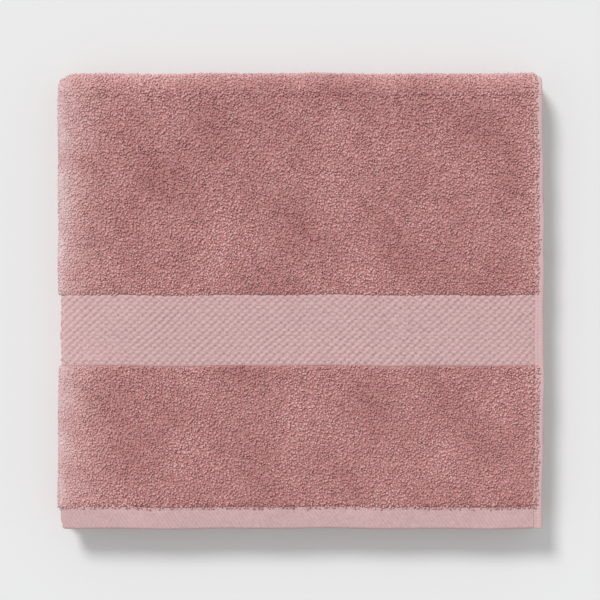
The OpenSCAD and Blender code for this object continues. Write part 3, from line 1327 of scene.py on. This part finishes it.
class Towel:
    """The whole folded towel."""

    def __init__(self, maker: Maker) -> None:
        self.maker = maker

    def build(self) -> None:
        """Makes every piece, from the bottom of the stack to the top."""
        maker, size, fold = self.maker, self.maker.size, self.maker.fold
        across = (size.side_hem_w, size.around - size.side_hem_w)
        back = (size.border_y[1], fold.span(Course.TOP)[1])
        coarse, close = OPEN, CLOSE
        parts = [
            TerryPart("bottom", Patch(Course.BOTTOM, fold.span(Course.BOTTOM), across), LOWER, "bottom_panel", coarse, "middle_cloth", 100, 2),
            TerryPart("front_fold", Patch(Course.FRONT, fold.span(Course.FRONT), across), LOWER, "front_fold", 2.7 * MM, "bottom_cloth", 120),
            TerryPart("middle", Patch(Course.MIDDLE, fold.span(Course.MIDDLE), across), LOWER, "middle_panel", coarse, "bottom_cloth", 140, 2),
            TerryPart("second", Patch(Course.SECOND, back, across), UPPER, "second_panel", coarse, "middle_cloth", 160),
            TerryPart("top", Patch(Course.TOP, back, across), UPPER, "top_panel", close, "second_cloth", 180, 3),
        ]
        for part in parts:
            part.build(maker)
            LOG.info("made %s", part.name)
        for part in (
            BackFoldPart("back_outer_over", Course.BACK_OUTER, True, 300, close, ("back_fold_lower", "back_fold_upper")),
            BackFoldPart("back_outer_under", Course.BACK_OUTER, False, 320, 2.7 * MM),
            BackFoldPart("back_inner_over", Course.BACK_INNER, False, 340, 2.7 * MM),
            BackFoldPart("back_inner_under", Course.BACK_INNER, True, 360, 2.7 * MM),
        ):
            part.build(maker)
            LOG.info("made %s", part.name)
        EndOfTowel("second", Course.SECOND, 1.3 * MM, coarse, 1, 200, "middle_cloth").build(maker)
        EndOfTowel("top", Course.TOP, 0.68 * MM, close, 2, 220, "second_cloth").build(maker)
        self._edges()
        CareLabel().build(maker)

    def _edges(self) -> None:
        maker, fold = self.maker, self.maker.fold
        sewing: dict[str, list[bpy.types.Mesh]] = {LOWER: [], UPPER: []}
        for name, course, body, node in (
            ("bottom", Course.BOTTOM, LOWER, "bottom_side_hems"),
            ("front_fold", Course.FRONT, LOWER, "front_fold_side_hems"),
            ("middle", Course.MIDDLE, LOWER, "middle_side_hems"),
            ("second", Course.SECOND, UPPER, "second_side_hems"),
            ("top", Course.TOP, UPPER, "top_side_hems"),
        ):
            sewing[body] += SideEdges(name, course, body, node, fold.span(course)).build(maker)
        for body, node in ((LOWER, "lower_side_seams"), (UPPER, "upper_side_seams")):
            mesh = join_meshes(f"{body}_side_stitches", sewing[body])
            maker.carry(show(f"{body}_side_stitches", mesh, maker.finish.thread), body, "thread", node)


# ---------------------------------------------------------------- studio


@dataclass(frozen=True)
class Studio:
    """A pale floor, a soft light from the upper left and a camera straight above."""

    view_w: float = 0.4715
    camera_z: float = 1.75
    floor: float = 0.74
    glow: float = 0.10
    top_z: float = 0.035
    power: float = 2.0
    softness: float = math.radians(16.5)
    ambient: float = 0.52

    def build(self) -> None:
        """Makes the floor, the lights, the surroundings and the camera."""
        self._floor()
        self._light("key", (-1.30, 2.20, 2.79))
        self._world()
        self._camera()

    def _floor(self) -> None:
        bm = bmesh.new()
        bmesh.ops.create_grid(bm, x_segments=8, y_segments=8, size=4.0)
        mesh = bpy.data.meshes.new("floor")
        bm.to_mesh(mesh)
        bm.free()
        material = bpy.data.materials.new("floor")
        material.use_nodes = True
        surface = material.node_tree.nodes["Principled BSDF"]
        surface.inputs["Base Color"].default_value = (self.floor, self.floor, self.floor, 1.0)
        surface.inputs["Roughness"].default_value = 0.95
        surface.inputs["Specular IOR Level"].default_value = 0.0
        surface.inputs["Emission Color"].default_value = (1.0, 1.0, 1.0, 1.0)
        surface.inputs["Emission Strength"].default_value = self.glow
        show("floor", mesh, material)

    def _light(self, name: str, place: tuple[float, float, float]) -> None:
        light = bpy.data.lights.new(name, "SUN")
        light.angle = self.softness
        light.energy = self.power
        lamp = bpy.data.objects.new(name, light)
        lamp.matrix_world = look_at(place, (0.0, 0.0, 0.0))
        bpy.context.scene.collection.objects.link(lamp)

    def _world(self) -> None:
        world = bpy.data.worlds.new("studio")
        world.use_nodes = True
        world.node_tree.nodes["Background"].inputs["Color"].default_value = (0.985, 1.0, 1.0, 1.0)
        world.node_tree.nodes["Background"].inputs["Strength"].default_value = self.ambient
        bpy.context.scene.world = world
        bpy.context.scene.view_settings.view_transform = "Standard"

    def _camera(self) -> None:
        camera = bpy.data.cameras.new("camera")
        camera.lens = camera.sensor_width * (self.camera_z - self.top_z) / self.view_w
        camera.clip_end = 20.0
        eye = bpy.data.objects.new("camera", camera)
        eye.location = (0.0, 0.0, self.camera_z)
        bpy.context.scene.collection.objects.link(eye)
        bpy.context.scene.camera = eye


def look_at(place: tuple[float, float, float], target: tuple[float, float, float]) -> Matrix:
    """A place and turn that faces a target along -Z."""
    direction = Vector(target) - Vector(place)
    return Matrix.Translation(place) @ direction.to_track_quat("-Z", "Y").to_matrix().to_4x4()


def main() -> None:
    """Builds the scene from the frame: studio, materials and towel."""
    logging.basicConfig(level=logging.INFO, format="%(name)s: %(message)s")
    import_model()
    size = TowelSizes()
    Studio().build()
    Towel(Maker(size, Fold(size), Finishes.make())).build()
    bpy.context.view_layer.update()
    count = sum(len(o.data.loop_triangles) or len(o.data.polygons) for o in bpy.data.objects if o.type == "MESH")
    LOG.info("%d faces in all", count)


if __name__ == "__main__":
    main()
